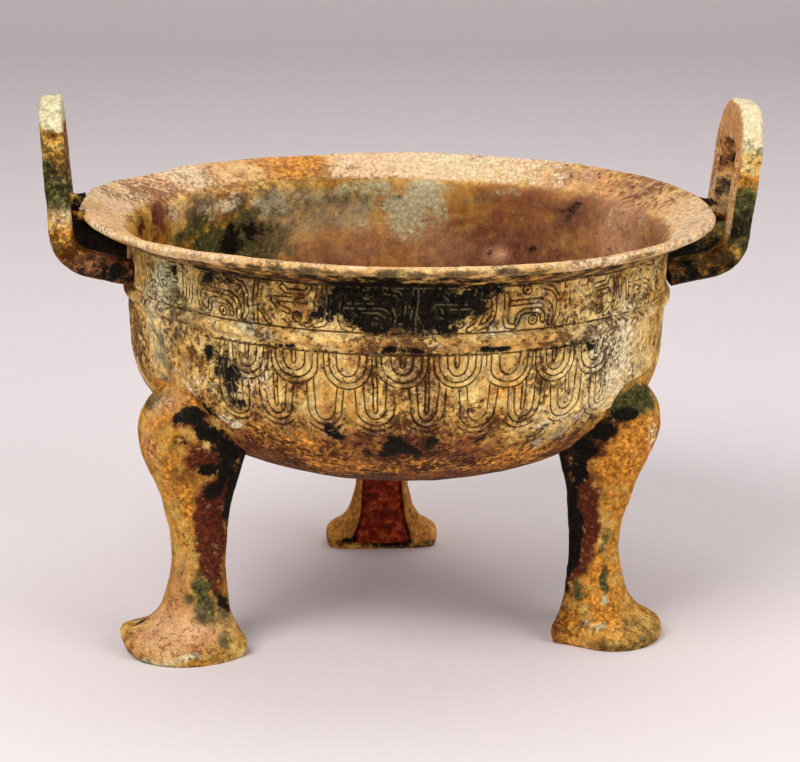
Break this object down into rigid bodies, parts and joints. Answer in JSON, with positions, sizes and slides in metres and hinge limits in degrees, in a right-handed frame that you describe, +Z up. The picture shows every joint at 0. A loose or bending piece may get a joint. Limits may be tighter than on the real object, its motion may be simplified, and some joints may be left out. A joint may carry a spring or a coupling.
{
  "type": "ding vessel",
  "caption": "Cast bronze tripod cauldron with a round bottom, flared rim, upright handles joined to the lip by struts, and hoof-shaped legs.",
  "frame": {"origin": "on the floor, under the centre of the whole object's bounding box", "axes": "+Z up, the front towards -Y as the picture shows it, +X through the handle on the picture's right"},
  "size_m": [0.385, 0.34, 0.2853],
  "materials": {
    "bowl_bronze": "matte",
    "handle_bronze": "matte",
    "strut_bronze": "matte",
    "leg_bronze": "matte",
    "core_clay": "matte",
    "spacer_bronze": "matte"
  },
  "bodies": {
    "root": {"bowl": "bowl_bronze", "handle_right": "handle_bronze", "handle_left": "handle_bronze", "strut_right_front": "strut_bronze", "strut_right_back": "strut_bronze", "strut_left_front": "strut_bronze", "strut_left_back": "strut_bronze", "leg_back": "leg_bronze", "leg_front_left": "leg_bronze", "leg_front_right": "leg_bronze", "leg_core_back": "core_clay", "leg_core_front_left": "core_clay", "leg_core_front_right": "core_clay", "spacer_1": "spacer_bronze", "spacer_2": "spacer_bronze", "spacer_3": "spacer_bronze", "spacer_4": "spacer_bronze", "spacer_5": "spacer_bronze", "spacer_6": "spacer_bronze", "spacer_7": "spacer_bronze", "spacer_8": "spacer_bronze", "spacer_9": "spacer_bronze"}
  },
  "joints": []
}
